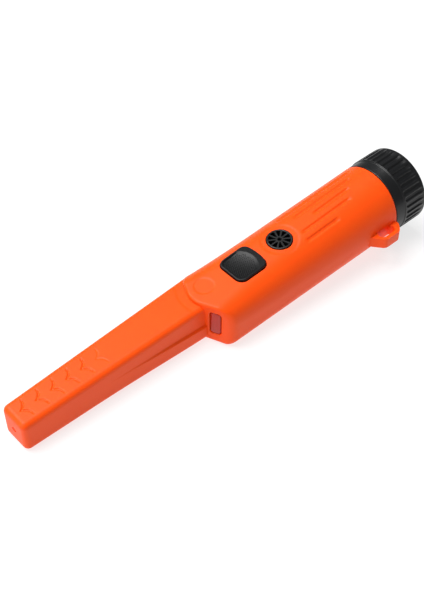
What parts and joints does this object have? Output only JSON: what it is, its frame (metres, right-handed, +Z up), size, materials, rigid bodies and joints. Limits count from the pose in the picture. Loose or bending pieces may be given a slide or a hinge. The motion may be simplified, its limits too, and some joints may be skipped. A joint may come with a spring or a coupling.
{
  "type": "pinpointer probe",
  "caption": "Hand-held pinpointer metal probe: tapered sensing nose with a scraping ledge, round handle with push button, sounder grille, lamp window, lanyard lug and fluted screw cap.",
  "frame": {"origin": "on the floor, under the middle of the object's box, as it lies on the lower edge of its tip and on its cap", "axes": "+X along the probe from the tip to the cap, +Z up through the power button, lamp window and lanyard lug on the -Y side"},
  "size_m": [0.236, 0.0452, 0.0404],
  "materials": {
    "orange_casing": "satin moulded",
    "black_cap": "fine moulded",
    "seal_rubber": "matte",
    "white_plastic": "moulded",
    "foam": "closed-cell foam",
    "button_rubber": "dotted",
    "chip_plastic": "moulded epoxy",
    "black_grille": "satin moulded",
    "circuit_board": "solder mask",
    "tinned_metal": "tinned",
    "tungsten": "sintered",
    "clear_window": "clear polycarbonate",
    "ferrite": "sintered",
    "copper_wire": "enamelled",
    "battery_can": "printed sleeve",
    "contact_brass": "stamped",
    "red_lead": "satin",
    "black_lead": "satin",
    "screw_steel": "zinc plated"
  },
  "bodies": {
    "handle": {"housing": "orange_casing", "button_seal": "seal_rubber", "switch_body": "chip_plastic", "sounder_grille": "black_grille", "sounder_membrane": "foam", "sounder": "black_grille", "main_board": "circuit_board", "chassis": "black_grille", "board_screw_1": "screw_steel", "board_screw_2": "screw_steel", "board_screw_3": "screw_steel", "board_screw_4": "screw_steel", "controller_chip": "chip_plastic", "amplifier_chip": "chip_plastic", "regulator": "chip_plastic", "quartz_crystal": "tinned_metal", "capacitor_1": "chip_plastic", "capacitor_2": "chip_plastic", "motor_can": "tinned_metal", "lamp_window": "clear_window", "lamp_led": "clear_window", "lamp_board": "circuit_board", "ferrite_rod": "ferrite", "coil_former": "white_plastic", "transmit_coil": "copper_wire", "receive_coil": "copper_wire", "tip_cushion": "foam", "root_cushion": "foam", "battery": "battery_can", "contact_plate": "chip_plastic", "contact_positive": "contact_brass", "contact_negative": "contact_brass", "coil_lead_1": "copper_wire", "coil_lead_2": "copper_wire", "lamp_lead_red": "red_lead", "lamp_lead_black": "black_lead", "battery_lead_red": "red_lead", "battery_lead_black": "black_lead"},
    "button": {"power_button": "button_rubber"},
    "plunger": {"switch_plunger": "white_plastic"},
    "pusher": {"battery_pusher": "white_plastic", "battery_pad": "foam"},
    "cap": {"battery_cap": "black_cap", "cap_seal_ring": "seal_rubber"},
    "motor_rotor": {"motor_weight": "tungsten"}
  },
  "joints": [
    {"name": "button_press", "type": "slide", "parent": "handle", "child": "button", "axis": [0.1351, 0, -0.9908], "range_m": [0, 0.0008], "stiffness_N_per_m": 1500, "springref_m": -0.0004},
    {"name": "switch_press", "type": "slide", "parent": "handle", "child": "plunger", "axis": [0.1351, 0, -0.9908], "range_m": [0, 0.0008]},
    {"name": "cap_travel", "type": "slide", "parent": "handle", "child": "pusher", "axis": [0.9987, 0, 0.0511], "range_m": [0, 0.00376]},
    {"name": "cap_turn", "type": "hinge", "parent": "pusher", "child": "cap", "pos_m": [0.09608, 0.00275, 0.01956], "axis": [0.9987, 0, 0.0511], "range_deg": [0, 450]},
    {"name": "motor_spin", "type": "hinge", "parent": "handle", "child": "motor_rotor", "pos_m": [0.02526, -0.00125, 0.00772], "axis": [0.9908, 0, 0.1351], "continuous": true}
  ],
  "couplings": [
    {"joint": "switch_press", "follows": "button_press", "ratio": 1},
    {"joint": "cap_travel", "follows": "cap_turn", "m_per_rad": 0.00047746}
  ]
}
